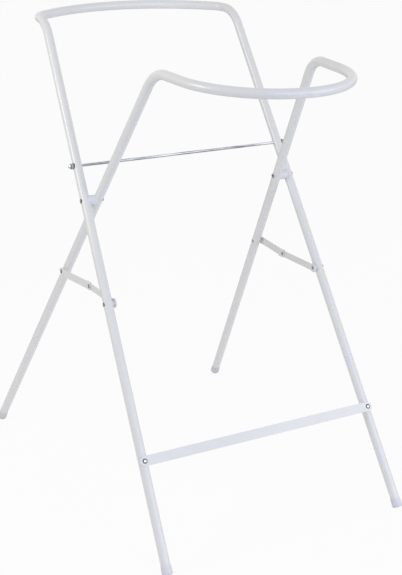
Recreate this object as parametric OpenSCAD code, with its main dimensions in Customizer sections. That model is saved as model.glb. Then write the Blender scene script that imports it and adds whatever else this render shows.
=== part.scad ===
// Folding stand for a baby bath: two crossed frames of bent steel tube.
// The outer frame has its feet in front and its hoop behind, and the inner frame the other way
// round. A rivet on each side joins them where they cross, and a two-link stay on each side holds
// them apart. X runs across the stand, -Y to the front and Z up; the floor is at Z = 0.

/* [Tube] */
// Outside diameter of the frame tube
tube_d = 18; // [15:0.5:22]
// Wall of the frame tube
tube_wall = 1; // [0.8:0.1:2]

/* [Main pivots] */
// Height of the pivots above the floor
pivot_z = 605; // [500:1:700]
// Clear gap between the two frames' tubes at the pivots
pivot_gap = 9.4; // [5:0.1:14]
// Diameter of the pivot rivets' shanks
pivot_rivet_d = 5; // [4:0.25:7]
// Diameter of the pivot rivets' heads
pivot_head_d = 9; // [8:0.5:13]
// Outside diameter of the plastic spacers between the frames
pivot_spacer_d = 19; // [14:0.5:24]

/* [Outer frame] */
// Half the spacing of the leg centrelines at the pivots
outer_half_w = 232; // [180:0.1:280]
// Lean of the legs from upright, feet to the front
outer_lean = 32.8; // [25:0.1:42]
// Angle by which each leg closes in towards the top
outer_taper = 2.2; // [0:0.05:5]
// Straight part of the leg above the pivot
outer_leg_up = 347; // [250:0.1:420]
// Centreline radius of the bend between leg and hoop
outer_bend_r = 65; // [40:0.1:90]
// Rise of the hoop towards its end
outer_rise = 4.5; // [0:0.1:8]
// Straight side of the hoop
outer_side = 2; // [1:1:80]
// Angle by which the sides of the hoop close in
outer_toe = 4; // [0:0.1:15]
// Centreline radius of the hoop's corners
outer_corner_r = 34; // [24:0.5:180]
// Centreline radius of the hoop's bowed end
outer_bow_r = 354; // [260:1:900]

/* [Inner frame] */
// Lean of the legs from upright, feet to the back
inner_lean = 32.8; // [25:0.1:42]
// Angle by which each leg closes in towards the top
inner_taper = 6.5; // [2:0.02:8]
// Straight part of the leg above the pivot
inner_leg_up = 283; // [220:0.1:360]
// Centreline radius of the bend between leg and hoop
inner_bend_r = 59; // [40:0.1:80]
// Fall of the hoop towards its end
inner_dip = 3.4; // [0:0.1:6]
// Straight side of the hoop
inner_side = 54; // [5:0.1:80]
// Angle by which the sides of the hoop close in
inner_toe = 3.9; // [0:0.1:10]

/* [Foot caps] */
// Wall of the caps at their foot
cap_wall = 1.25; // [1:0.05:3]
// Wall of the caps at their rim
cap_lip = 0.6; // [0.4:0.05:1]
// Thickness of the caps' bottoms
cap_bottom = 3; // [2:0.25:6]
// Length of the caps
cap_h = 18; // [16:1:40]
// Rounding of the caps' bottom edges
cap_round = 4; // [2:0.25:7]
// Depth of the flat that rests on the floor
cap_flat = 0.5; // [0.3:0.1:1]

/* [Cross strap] */
// Distance down the leg from the pivot to the strap
strap_drop = 509; // [420:1:580]
// Height of the strap
strap_h = 19; // [14:0.5:26]
// Thickness of the strap
strap_t = 2; // [1.5:0.1:4]
// Diameter of the strap rivets' shanks
strap_rivet_d = 5; // [3:0.25:6]
// Diameter of the strap rivets' heads
strap_head_d = 9.6; // [8:0.2:12]

/* [Tie rod] */
// Distance up the leg from the pivot to the rod
rod_rise = 72; // [50:0.1:140]
// Diameter of the rod
rod_d = 5.6; // [4:0.2:8]
// Width across the flats of its cap nuts
nut_flats = 10; // [9:0.5:14]
// Height of the nuts' six-sided part
nut_hex_h = 5; // [3:0.25:8]
// Outside diameter of the nuts' collars
nut_collar_d = 12; // [11:0.5:14]
// Thickness of the collars
nut_collar_t = 1; // [0.5:0.1:2]
// Thickness of a nut's roof behind its blind hole
nut_wall = 1; // [0.6:0.1:2]

/* [Stays] */
// Distance down each leg from the pivot to the stay rivets
stay_drop = 207; // [150:1:240]
// Thickness of the front links
front_link_t = 2; // [1.5:0.1:3]
// Height of the front links
front_link_h = 13.4; // [11:0.2:18]
// Diameter of the front links' eyes at the legs
front_eye_d = 18; // [14:0.5:22]
// Sheet thickness of the rear links
rear_link_t = 1.2; // [1:0.1:2]
// Length of the fork with which a rear link holds the front one, up to the knee rivet
fork_l = 14; // [12:0.5:24]
// Reach of the fork's roof past the knee rivet, which stops the knee from dropping
roof_reach = 3; // [1:0.5:5]
// Thickness of the spacers between front links and outer legs
front_spacer_t = 3.4; // [2:0.1:5]
// Diameter of those spacers
front_spacer_d = 11; // [9:0.5:14]
// Diameter of the washers between rear links and inner legs
rear_washer_d = 12; // [9:0.5:15]
// Diameter of the stay rivets' shanks
stay_rivet_d = 4.5; // [3:0.25:6]
// Diameter of the stay rivets' heads
stay_head_d = 8; // [6.5:0.25:10]

/* [Rivet heads] */
// Height of the heads' domes
head_rise = 1.6; // [0.8:0.1:2.5]
// Height of the heads' rims
head_rim = 0.4; // [0.2:0.1:1]

/* [Fits] */
// Radial clearance of a rivet that something turns on
run_clear = 0.05; // [0.02:0.01:0.1]
// Gap between pieces that are seated on each other
seat_gap = 0.02; // [0.01:0.01:0.05]
// Side clearance of a link in the fork, on each face
fork_clear = 0.25; // [0.15:0.05:0.5]
// Clearance between a turning piece and the face it turns against
face_clear = 0.1; // [0.05:0.05:0.3]
// Least gap between a rear link and the inner leg that it is hinged on
ear_clear = 0.2; // [0.1:0.05:1]

/* [Hidden] */
$fn = 64;

powder_white = [0.90, 0.90, 0.92];
plastic_white = [0.96, 0.96, 0.95];
bright_steel = [0.72, 0.73, 0.75];

tube_r = tube_d / 2;

// Gap between two pieces of a bent tube, and depth of the joining ring below the tube's skin.
joint_gap = 0.1;
joint_step = 0.02;
inner_half_w = outer_half_w - tube_d - pivot_gap;

// Directions of a leg going up and of a hoop side going outwards, on the right of a frame whose
// hoop points along +Y.
function unit(v) = v / norm(v);
function leg_dir(lean, taper) = unit([-tan(taper), sin(lean), cos(lean)]);
function side_dir(toe, dip) = [-sin(toe), cos(toe) * cos(dip), -cos(toe) * sin(dip)];

// Point on a leg's centreline at a distance up the leaning plane from the pivot, with the pivot at
// the origin in Y and Z.
function on_leg(up, half_w, lean, taper) = [half_w - up * tan(taper), up * sin(lean), up * cos(lean)];

// Length from a bend's corner point back to where the bend starts.
function bend_tangent(r, d1, d2) = r * tan(acos(d1 * d2) / 2);

// Where the bend ends and the side of the hoop starts.
function bend_end(half_w, lean, taper, leg_up, bend_r, toe, dip) =
    let (d1 = leg_dir(lean, taper), d2 = side_dir(toe, dip))
    on_leg(leg_up, half_w, lean, taper) + (d1 + d2) * bend_tangent(bend_r, d1, d2);

// Unit vector in the plane of d and d2, square to d and on the side of d2.
function square_to(d, d2) = unit(d2 - d * (d * d2));

// Angle about d2 from the plane of the leg's bend to the plane of the hoop.
function hoop_roll(d1, d2, dip) =
    let (n = -square_to(d2, d1), m = cross([0, sin(dip), cos(dip)], d2))
    atan2(d2 * cross(n, m), n * m);

// The hoop in its own plane: half its width at the corner's start, the corner's centre, and the
// angle that half of the bowed end takes up. A corner is never wider than half the hoop.
function corner_x(x, side, toe) = x - side * sin(toe);
function corner_radius(corner_r, x, toe) = min(corner_r, x / cos(toe));
function bow_angle(x, r, bow_r, toe) = asin(max(0, x - r * cos(toe)) / (bow_r - r));
function hoop_depth(x, side, toe, corner_r, bow_r) =
    let (x1 = corner_x(x, side, toe), r = corner_radius(corner_r, x1, toe))
    side * cos(toe) - r * sin(toe) - (bow_r - r) * cos(bow_angle(x1, r, bow_r, toe)) + bow_r;

outer_bend_end = bend_end(outer_half_w, outer_lean, outer_taper, outer_leg_up, outer_bend_r,
                          outer_toe, -outer_rise);
outer_reach = outer_bend_end.y + cos(outer_rise) * hoop_depth(outer_bend_end.x, outer_side, outer_toe,
                                                              outer_corner_r, outer_bow_r);

// The inner hoop is one round arc: its corner radius is set to the most that fits.
inner_corner_r = inner_half_w;
inner_bow_r = 2 * inner_half_w;
inner_bend_end = bend_end(inner_half_w, inner_lean, inner_taper, inner_leg_up, inner_bend_r,
                          inner_toe, inner_dip);
inner_reach = inner_bend_end.y + cos(inner_dip) * hoop_depth(inner_bend_end.x, inner_side, inner_toe,
                                                             inner_corner_r, inner_bow_r);

// A foot cap's bottom edge is rounded and dips below the floor by the depth of the flat: height of
// the middle of the cap's bottom.
cap_r = tube_r + cap_wall;
function cap_z(dir) =
    cap_round - cap_flat - cap_round * dir.z + (cap_r - cap_round) * norm([dir.x, dir.y]);

// Distance down the leaning plane from the pivot to where a leg's tube ends in its cap.
function leg_down(lean, dir) = (pivot_z - cap_z(dir) - cap_bottom * dir.z) / cos(lean);

// Furthest point of a foot cap in Y, from the pivot.
function foot_reach(lean, dir) =
    (pivot_z - cap_z(dir)) * tan(lean) + cap_round * (1 - dir.y) + (cap_r - cap_round) * norm([dir.x, dir.z]);

outer_dir = leg_dir(outer_lean, outer_taper);
inner_dir = leg_dir(inner_lean, inner_taper);
outer_down = leg_down(outer_lean, outer_dir);
inner_down = leg_down(inner_lean, inner_dir);

// The pivots lie where the stand reaches equally far to the front and to the back of the origin.
pivot_y = (max(inner_reach + tube_r, foot_reach(outer_lean, outer_dir))
           - max(outer_reach + tube_r, foot_reach(inner_lean, inner_dir))) / 2;

// Points on the right legs, in the stand's own axes.
function outer_at(up) = [0, pivot_y, pivot_z] + on_leg(up, outer_half_w, outer_lean, outer_taper);
function inner_at(up) =
    let (p = on_leg(up, inner_half_w, inner_lean, inner_taper)) [p.x, pivot_y - p.y, pivot_z + p.z];

// Sideways distance from a leaning tube's centreline to its side.
outer_side_r = tube_r / cos(outer_taper);
inner_side_r = tube_r / cos(inner_taper);

// The stays: rivets on the legs, straight line between them, and the knee halfway.
rear_pin = inner_at(-stay_drop);
front_pin = outer_at(-stay_drop);
stay_l = norm([rear_pin.y - front_pin.y, rear_pin.z - front_pin.z]);
link_l = stay_l / 2;
stay_tilt = atan2(rear_pin.z - front_pin.z, rear_pin.y - front_pin.y);

// Sideways places of the stay's layers.
outer_inside = front_pin.x - outer_side_r;
front_eye_x = outer_inside - front_spacer_t;
knee_x = front_eye_x - front_link_t / 2;
fork_gap = front_link_t + 2 * fork_clear;
fork_w = fork_gap + 2 * rear_link_t;
rear_link_h = front_link_h + 2 * (face_clear + rear_link_t);
ear_x = rear_pin.x + inner_side_r + rear_link_h / 2 * tan(inner_taper) + ear_clear;
ear_margin = 4;
ear_flat = rear_link_h / 2 + ear_margin;
joggle_gap = 3;

// ---------------------------------------------------------------- Helpers

module both_sides() {
    children();
    mirror([1, 0, 0]) children();
}

// Side +1 is the right of the stand, side -1 the left.
module on_side(side) {
    mirror([side < 0 ? 1 : 0, 0, 0]) children();
}

// Local axes at point p: +Z along d, and +X along n, which is square to d.
module axes_at(p, d, n) {
    b = cross(d, n);
    multmatrix([[n.x, b.x, d.x, p.x], [n.y, b.y, d.y, p.y], [n.z, b.z, d.z, p.z], [0, 0, 0, 1]])
        children();
}

module tube_section() {
    difference() {
        circle(r = tube_r);
        circle(r = tube_r - tube_wall);
    }
}

// The tube is bent up piece by piece, each starting where the last one ends and going along its
// own +Z: a straight run or a bend, then whatever follows it. Two pieces stop a hair short of each
// other, and a ring just inside the tube's skin joins them.
module run(l) {
    translate([0, 0, joint_gap / 2]) linear_extrude(l - joint_gap) tube_section();
    translate([0, 0, l]) children();
}

// A bend of centreline radius r, towards the direction that lies at the angle roll from +X.
module bend(r, angle, roll = 0) {
    gap_angle = joint_gap / r * 180 / PI;
    rotate([0, 0, roll]) {
        translate([r, 0, 0]) mirror([1, 0, 0]) rotate([90, 0, 0])
            rotate_extrude(start = gap_angle / 2, angle = angle - gap_angle)
                translate([r, 0]) tube_section();
        translate([r, 0, 0]) rotate([0, angle, 0]) translate([-r, 0, 0]) children();
    }
}

module joint() {
    translate([0, 0, -joint_gap]) linear_extrude(2 * joint_gap) difference() {
        circle(r = tube_r - joint_step);
        circle(r = tube_r - tube_wall + joint_step);
    }
    children();
}

// A whole frame with its pivots at the origin in Y and Z and its hoop pointing along +Y, from the
// right foot, a distance down the leaning plane from the pivots, round the hoop to the left foot.
module bent_frame(half_w, lean, taper, leg_down, leg_up, bend_r, dip, side, toe, corner_r, bow_r) {
    d1 = leg_dir(lean, taper);
    d2 = side_dir(toe, dip);
    foot = on_leg(-leg_down, half_w, lean, taper);
    leg_l = norm(on_leg(leg_up, half_w, lean, taper) - foot);
    angle = acos(d1 * d2);
    roll = hoop_roll(d1, d2, dip);
    x = corner_x(bend_end(half_w, lean, taper, leg_up, bend_r, toe, dip).x, side, toe);
    r = corner_radius(corner_r, x, toe);
    bow = 2 * bow_angle(x, r, bow_r, toe);
    corner = 90 - toe - bow / 2;
    axes_at(foot, d1, square_to(d1, d2))
        run(leg_l) joint() bend(bend_r, angle) joint() run(side) joint() bend(r, corner, roll)
            bowed_end(bow_r, bow)
                joint() bend(r, corner) joint() run(side) joint() bend(bend_r, angle, -roll)
                    joint() run(leg_l);
}

// The hoop's bowed end, left out where its two corners already meet.
module bowed_end(r, angle) {
    if (r * angle > 60) joint() bend(r, angle) children();
    else children();
}

// A cylinder across the stand through the point p, between two places in X.
module across(p, x0, x1, d) {
    translate([x0, p.y, p.z]) rotate([0, 90, 0]) cylinder(h = x1 - x0, d = d);
}

// The same bore through the legs on both sides.
module leg_bore(p, d) {
    both_sides() across(p, p.x - tube_d, p.x + tube_d, d);
}

// A domed rivet head that starts at the origin and rises along +Z: a low cap of a sphere on a rim.
module dome_head(d, rise, rim) {
    r = (d * d / 4 + rise * rise) / (2 * rise);
    cylinder(h = rim, d = d);
    intersection() {
        translate([0, 0, rim]) cylinder(h = rise, d = d);
        translate([0, 0, rim + rise - r]) sphere(r = r);
    }
}

// The same head on a face at x, looking outwards (+1) or inwards (-1) across the stand.
module head_at(p, x, facing, d, rise, rim) {
    translate([x, p.y, p.z]) rotate([0, 90 * facing, 0]) dome_head(d, rise, rim);
}

// A rolled rivet end on a face at x: a ring round a shallow hollow.
module rolled_end_at(p, x, facing, d) {
    roll_r = d / 7;
    translate([x, p.y, p.z]) rotate([0, 90 * facing, 0]) {
        rotate_extrude() translate([d / 2 - roll_r, roll_r]) circle(r = roll_r);
        cylinder(h = roll_r, d = d);
    }
}

// Depth by which a round face of diameter d, set square across the stand on a leg's side, has to
// reach down for its whole rim to meet the tube.
function saddle(d, taper) = tube_r - sqrt(tube_r * tube_r - d * d / 4) + d / 2 * tan(taper);

// Solid bars in the place of the right legs, which cut the seats of what sits on a leg.
module outer_leg_bar() {
    axes_at(outer_at(-outer_down), outer_dir, [0, cos(outer_lean), -sin(outer_lean)])
        cylinder(h = outer_down + outer_leg_up, r = tube_r + seat_gap);
}

module inner_leg_bar() {
    axes_at(inner_at(-inner_down), [inner_dir.x, -inner_dir.y, inner_dir.z],
            [0, cos(inner_lean), sin(inner_lean)])
        cylinder(h = inner_down + inner_leg_up, r = tube_r + seat_gap);
}

// ---------------------------------------------------------------- Frames

// Axes on the front of the outer frame: X across, Y up the leaning plane, Z out to the front, with
// the origin on the frame's middle, level with the strap.
module strap_axes() {
    axes_at([0, outer_at(-strap_drop).y, outer_at(-strap_drop).z], [0, -cos(outer_lean), sin(outer_lean)],
            [1, 0, 0])
        children();
}

strap_x = outer_at(-strap_drop).x;

module outer_tube() {
    color(powder_white) difference() {
        translate([0, pivot_y, pivot_z])
            bent_frame(outer_half_w, outer_lean, outer_taper, outer_down, outer_leg_up, outer_bend_r,
                       -outer_rise, outer_side, outer_toe, outer_corner_r, outer_bow_r);
        leg_bore(outer_at(0), pivot_rivet_d + 2 * seat_gap);
        leg_bore(outer_at(rod_rise), rod_d + 2 * seat_gap);
        leg_bore(front_pin, stay_rivet_d + 2 * seat_gap);
        strap_axes() both_sides() translate([strap_x, 0, -tube_d])
            cylinder(h = 2 * tube_d, d = strap_rivet_d + 2 * seat_gap);
    }
}

module inner_tube() {
    color(powder_white) difference() {
        translate([0, pivot_y, pivot_z]) rotate([0, 0, 180])
            bent_frame(inner_half_w, inner_lean, inner_taper, inner_down, inner_leg_up, inner_bend_r,
                       inner_dip, inner_side, inner_toe, inner_corner_r, inner_bow_r);
        leg_bore(inner_at(0), pivot_rivet_d + 2 * run_clear);
        leg_bore(rear_pin, stay_rivet_d + 2 * seat_gap);
    }
}

// A cap on the tube's end, with the middle of its bottom at the origin and the leg going up. It
// widens from its rim to its rounded foot.
module cap_shell() {
    difference() {
        rotate_extrude() {
            polygon([[0, 0], [cap_r - cap_round, 0], [cap_r - cap_round, cap_round], [cap_r, cap_round],
                     [tube_r + cap_lip, cap_h], [0, cap_h]]);
            intersection() {
                translate([cap_r - cap_round, cap_round]) circle(r = cap_round);
                translate([cap_r - cap_round, 0]) square(cap_round);
            }
        }
        translate([0, 0, cap_bottom]) cylinder(h = cap_h, r = tube_r + seat_gap);
    }
}

module foot_cap(end, dir, n) {
    color(plastic_white) difference() {
        axes_at(end, dir, n) cap_shell();
        translate([end.x - 2 * cap_r, end.y - 2 * cap_r, -2 * cap_r]) cube([4 * cap_r, 4 * cap_r, 2 * cap_r]);
    }
}

module outer_foot_cap(side) {
    on_side(side) foot_cap(outer_at((cap_z(outer_dir) - pivot_z) / cos(outer_lean)), outer_dir,
                           [0, cos(outer_lean), -sin(outer_lean)]);
}

module inner_foot_cap(side) {
    on_side(side) foot_cap(inner_at((cap_z(inner_dir) - pivot_z) / cos(inner_lean)),
                           [inner_dir.x, -inner_dir.y, inner_dir.z], [0, cos(inner_lean), sin(inner_lean)]);
}

// ---------------------------------------------------------------- Strap and rod

module cross_strap() {
    color(powder_white) strap_axes() translate([0, 0, tube_r + seat_gap])
        linear_extrude(strap_t) difference() {
            both_sides() {
                translate([0, -strap_h / 2]) square([strap_x, strap_h]);
                translate([strap_x, 0]) circle(d = strap_h);
            }
            both_sides() translate([strap_x, 0]) circle(d = strap_rivet_d + 2 * seat_gap);
        }
}

module strap_rivet(side) {
    front = tube_r + strap_t + 2 * seat_gap;
    sunk = saddle(stay_head_d, 0);
    color(bright_steel) on_side(side) {
        strap_axes() translate([strap_x, 0, 0]) {
            translate([0, 0, -tube_r - head_rim])
                cylinder(h = tube_r + head_rim + front, d = strap_rivet_d);
            translate([0, 0, front]) dome_head(strap_head_d, head_rise, head_rim);
        }
        difference() {
            strap_axes() translate([strap_x, 0, sunk - tube_r]) mirror([0, 0, 1])
                dome_head(stay_head_d, head_rise, sunk + head_rim);
            outer_leg_bar();
        }
    }
}

rod_end = outer_at(rod_rise);
rod_side = rod_end.x + outer_side_r;
nut_dome_rim = 0.4;
nut_dome_d = nut_flats - nut_dome_rim;
nut_dome_rise = 0.42 * nut_flats;

module tie_rod() {
    reach = rod_side + nut_hex_h - nut_wall;
    color(bright_steel) across([0, rod_end.y, rod_end.z], -reach, reach, rod_d);
}

// A six-sided cap nut on a round collar that is shaped to the tube.
module rod_nut(side) {
    sunk = saddle(nut_collar_d, outer_taper);
    color(bright_steel) on_side(side) difference() {
        union() {
            across(rod_end, rod_side - sunk, rod_side + nut_collar_t, nut_collar_d);
            translate([rod_side, rod_end.y, rod_end.z]) rotate([0, 90, 0]) {
                cylinder(h = nut_hex_h, d = nut_flats / cos(30), $fn = 6);
                translate([0, 0, nut_hex_h]) dome_head(nut_dome_d, nut_dome_rise, nut_dome_rim);
            }
        }
        outer_leg_bar();
        across(rod_end, 0, rod_side + nut_hex_h - nut_wall + seat_gap, rod_d + 2 * seat_gap);
    }
}

// ---------------------------------------------------------------- Main pivots

pivot_pin = outer_at(0);

// The rivet is fast in the outer leg, and the inner leg turns on it with its spacer.
module pivot_rivet(side) {
    outside = outer_half_w + outer_side_r;
    inside = inner_half_w - inner_side_r - pivot_head_d / 2 * tan(inner_taper) - face_clear;
    sunk = saddle(pivot_head_d, outer_taper);
    color(bright_steel) on_side(side) {
        across(pivot_pin, inside - head_rim, outside + head_rim, pivot_rivet_d);
        rolled_end_at(pivot_pin, inside, -1, pivot_head_d);
        difference() {
            head_at(pivot_pin, outside - sunk, 1, pivot_head_d, head_rise, sunk + head_rim);
            outer_leg_bar();
        }
    }
}

module pivot_spacer(side) {
    outside = outer_half_w - outer_side_r - pivot_spacer_d / 2 * tan(outer_taper) - face_clear;
    color(plastic_white) on_side(side) difference() {
        across(pivot_pin, inner_half_w, outside, pivot_spacer_d);
        inner_leg_bar();
        across(pivot_pin, 0, outer_half_w, pivot_rivet_d + 2 * run_clear);
    }
}

// ---------------------------------------------------------------- Stays

// Axes of a stay: the rivet on the inner leg at the origin, the stay running along -Y, Z up.
module stay_axes() {
    translate([0, rear_pin.y, rear_pin.z]) rotate([stay_tilt, 0, 0]) children();
}

// A plate across the stand, from x0 to x1, with the outline drawn in Y and Z.
module side_plate(x0, x1) {
    translate([x0, 0, 0]) rotate([90, 0, 90]) linear_extrude(x1 - x0) children();
}

// A plate that is flat in X and Y, as high as the link and on its middle.
module plan_plate(h) {
    translate([0, 0, -h / 2]) linear_extrude(h) children();
}

module across_stay(run, x0, x1, d) {
    across([0, -run, 0], x0, x1, d);
}

// Sheet strip with round ends on the leg's rivet and the knee, joggled inwards between them.
module rear_strip() {
    fork_x = knee_x + fork_gap / 2;
    joggle_end = link_l - fork_l - joggle_gap;
    end = link_l + rear_link_h;
    intersection() {
        side_plate(fork_x, ear_x + rear_link_t) {
            translate([-link_l, -rear_link_h / 2]) square([link_l, rear_link_h]);
            circle(d = rear_link_h);
            translate([-link_l, 0]) circle(d = rear_link_h);
        }
        plan_plate(rear_link_h)
            polygon([[ear_x, rear_link_h], [ear_x, -ear_flat], [fork_x, -joggle_end], [fork_x, -end],
                     [fork_x + rear_link_t, -end], [fork_x + rear_link_t, -joggle_end],
                     [ear_x + rear_link_t, -ear_flat], [ear_x + rear_link_t, rear_link_h]]);
    }
}

// The fork's inner cheek and its roof, folded from the strip over the front link.
module rear_fork() {
    inside = knee_x - fork_w / 2;
    side_plate(inside, inside + rear_link_t) {
        translate([-link_l, -rear_link_h / 2]) square([fork_l, rear_link_h]);
        translate([-link_l, 0]) circle(d = rear_link_h);
    }
    translate([inside, -link_l - roof_reach, rear_link_h / 2 - rear_link_t])
        cube([fork_w, roof_reach + fork_l, rear_link_t]);
}

module rear_link(side) {
    color(powder_white) on_side(side) stay_axes() difference() {
        union() {
            rear_strip();
            rear_fork();
        }
        across_stay(0, 0, 2 * ear_x, stay_rivet_d + 2 * run_clear);
        across_stay(link_l, 0, 2 * ear_x, stay_rivet_d + 2 * seat_gap);
    }
}

// Flat bar with an eye at the outer leg, which passes inside that leg when the stand folds.
module front_link(side) {
    color(powder_white) on_side(side) stay_axes() difference() {
        side_plate(front_eye_x - front_link_t, front_eye_x) {
            translate([-stay_l, -front_link_h / 2]) square([link_l, front_link_h]);
            translate([-link_l, 0]) circle(d = front_link_h);
            translate([-stay_l, 0]) circle(d = front_eye_d);
        }
        across_stay(link_l, 0, 2 * ear_x, stay_rivet_d + 2 * run_clear);
        across_stay(stay_l, 0, 2 * ear_x, stay_rivet_d + 2 * seat_gap);
    }
}

// The knee rivet is fast in the fork, and the front link turns on it.
module knee_rivet(side) {
    half = fork_w / 2 + seat_gap;
    pin = [0, -link_l, 0];
    color(bright_steel) on_side(side) stay_axes() {
        across(pin, knee_x - half - head_rim, knee_x + half + head_rim, stay_rivet_d);
        head_at(pin, knee_x + half, 1, stay_head_d, head_rise, head_rim);
        rolled_end_at(pin, knee_x - half, -1, stay_head_d);
    }
}

// The rear rivet is fast in the inner leg: head outside the link's ear, rolled end inside the leg.
module rear_stay_rivet(side) {
    outside = ear_x + rear_link_t + face_clear;
    inside = rear_pin.x - inner_side_r;
    sunk = saddle(stay_head_d, inner_taper);
    color(bright_steel) on_side(side) {
        across(rear_pin, inside - head_rim, outside + head_rim, stay_rivet_d);
        head_at(rear_pin, outside, 1, stay_head_d, head_rise, head_rim);
        difference() {
            union() {
                across(rear_pin, inside, inside + sunk, stay_head_d);
                rolled_end_at(rear_pin, inside, -1, stay_head_d);
            }
            inner_leg_bar();
        }
    }
}

module rear_stay_washer(side) {
    color(plastic_white) on_side(side) difference() {
        across(rear_pin, rear_pin.x, ear_x - face_clear, rear_washer_d);
        inner_leg_bar();
        across(rear_pin, 0, ear_x, stay_rivet_d + 2 * seat_gap);
    }
}

// The front rivet is fast in the outer leg and ends level with its spacer's face.
module front_stay_rivet(side) {
    outside = front_pin.x + outer_side_r;
    sunk = saddle(stay_head_d, outer_taper);
    color(bright_steel) on_side(side) {
        across(front_pin, front_eye_x + face_clear, outside + head_rim, stay_rivet_d);
        difference() {
            head_at(front_pin, outside - sunk, 1, stay_head_d, head_rise, sunk + head_rim);
            outer_leg_bar();
        }
    }
}

module front_stay_spacer(side) {
    color(plastic_white) on_side(side) difference() {
        across(front_pin, front_eye_x + face_clear, front_pin.x, front_spacer_d);
        outer_leg_bar();
        across(front_pin, 0, front_pin.x, stay_rivet_d + 2 * seat_gap);
    }
}

// The part of the front rivet that travels with the front link: rolled end and shank in the eye.
module front_stay_rivet_end(side) {
    inside = front_eye_x - front_link_t - seat_gap;
    color(bright_steel) on_side(side) {
        across(front_pin, inside - head_rim, front_eye_x, stay_rivet_d);
        rolled_end_at(front_pin, inside, -1, stay_head_d);
    }
}

outer_tube();
inner_tube();
outer_foot_cap(-1);  // outer_foot_cap_left
outer_foot_cap(1);  // outer_foot_cap_right
inner_foot_cap(-1);  // inner_foot_cap_left
inner_foot_cap(1);  // inner_foot_cap_right
cross_strap();
strap_rivet(-1);  // strap_rivet_left
strap_rivet(1);  // strap_rivet_right
tie_rod();
rod_nut(-1);  // rod_nut_left
rod_nut(1);  // rod_nut_right
pivot_rivet(-1);  // pivot_rivet_left
pivot_rivet(1);  // pivot_rivet_right
pivot_spacer(-1);  // pivot_spacer_left
pivot_spacer(1);  // pivot_spacer_right
rear_link(-1);  // rear_link_left
rear_link(1);  // rear_link_right
front_link(-1);  // front_link_left
front_link(1);  // front_link_right
knee_rivet(-1);  // knee_rivet_left
knee_rivet(1);  // knee_rivet_right
rear_stay_rivet(-1);  // rear_stay_rivet_left
rear_stay_rivet(1);  // rear_stay_rivet_right
rear_stay_washer(-1);  // rear_stay_washer_left
rear_stay_washer(1);  // rear_stay_washer_right
front_stay_rivet(-1);  // front_stay_rivet_left
front_stay_rivet(1);  // front_stay_rivet_right
front_stay_spacer(-1);  // front_stay_spacer_left
front_stay_spacer(1);  // front_stay_spacer_right
front_stay_rivet_end(-1);  // front_stay_rivet_end_left
front_stay_rivet_end(1);  // front_stay_rivet_end_right
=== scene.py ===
# %% [markdown]
# # A folding stand for a baby bath
#
# The stand is two crossed frames of white tube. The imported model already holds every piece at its
# real size and place, so this lesson is about what the eye sees: the glossy powder coat, the turned
# and rolled rivets, the cap nuts, the moulded foot caps, the light and the camera.

# %% Load the frame
import math
from collections import namedtuple

import bmesh
import bpy
from mathutils import Matrix, Vector


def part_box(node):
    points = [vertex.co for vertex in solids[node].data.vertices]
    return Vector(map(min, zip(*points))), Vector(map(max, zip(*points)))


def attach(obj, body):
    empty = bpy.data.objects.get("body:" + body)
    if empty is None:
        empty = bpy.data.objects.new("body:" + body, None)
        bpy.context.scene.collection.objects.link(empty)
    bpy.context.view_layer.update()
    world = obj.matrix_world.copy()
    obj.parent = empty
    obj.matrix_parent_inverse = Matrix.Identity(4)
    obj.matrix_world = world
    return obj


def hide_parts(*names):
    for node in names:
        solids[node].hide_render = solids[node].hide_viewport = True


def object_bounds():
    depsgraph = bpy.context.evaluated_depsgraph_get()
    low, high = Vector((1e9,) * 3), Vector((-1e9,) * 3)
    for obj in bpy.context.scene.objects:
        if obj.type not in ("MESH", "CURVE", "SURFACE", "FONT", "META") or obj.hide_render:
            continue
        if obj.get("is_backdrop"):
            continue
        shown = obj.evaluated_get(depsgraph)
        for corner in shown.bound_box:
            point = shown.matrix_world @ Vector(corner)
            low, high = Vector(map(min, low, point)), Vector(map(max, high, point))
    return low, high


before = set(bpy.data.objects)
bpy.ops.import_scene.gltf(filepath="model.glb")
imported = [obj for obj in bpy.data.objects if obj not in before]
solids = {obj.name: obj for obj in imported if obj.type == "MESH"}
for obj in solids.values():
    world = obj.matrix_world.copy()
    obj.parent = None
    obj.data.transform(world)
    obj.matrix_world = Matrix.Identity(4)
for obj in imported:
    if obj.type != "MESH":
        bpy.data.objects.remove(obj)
solid_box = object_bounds()


def rounded(values, digits=1):
    return tuple(round(value, digits) for value in values)


print("solid box:", [rounded(corner, 4) for corner in solid_box])

# %% [markdown]
# ## The camera
#
# The photograph was taken from the left of the stand and a little above it, from about two and a
# half metres. A camera could be aimed at a point, but a plain yaw and pitch are easier to measure in
# a picture and to correct one at a time. The shift moves the picture on the sensor without turning
# the camera, because the stand is not quite in the middle of the photograph.

# %% Place the camera
PHOTO_W, PHOTO_H = 402, 575
CENTRE_X, CENTRE_Y = 177.8, 273.2
FOCAL_PIXELS = 1203.5
SENSOR_MM = 36
CAMERA_PLACE = Vector((-1.1392, -2.0419, 1.1991))
CAMERA_YAW, CAMERA_PITCH = 28.37, 18.3

lens = bpy.data.cameras.new("camera")
lens.sensor_width = SENSOR_MM
lens.lens = FOCAL_PIXELS / PHOTO_H * SENSOR_MM
lens.shift_x = (PHOTO_W / 2 - CENTRE_X) / PHOTO_H
lens.shift_y = (CENTRE_Y - PHOTO_H / 2) / PHOTO_H
camera = bpy.data.objects.new("camera", lens)
turn = (Matrix.Rotation(-math.radians(CAMERA_YAW), 4, "Z")
        @ Matrix.Rotation(math.radians(90 - CAMERA_PITCH), 4, "X"))
camera.matrix_world = Matrix.Translation(CAMERA_PLACE) @ turn
bpy.context.scene.collection.objects.link(camera)
bpy.context.scene.camera = camera
print("lens:", round(lens.lens, 1), "mm, shift:", rounded((lens.shift_x, lens.shift_y), 3))

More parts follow.
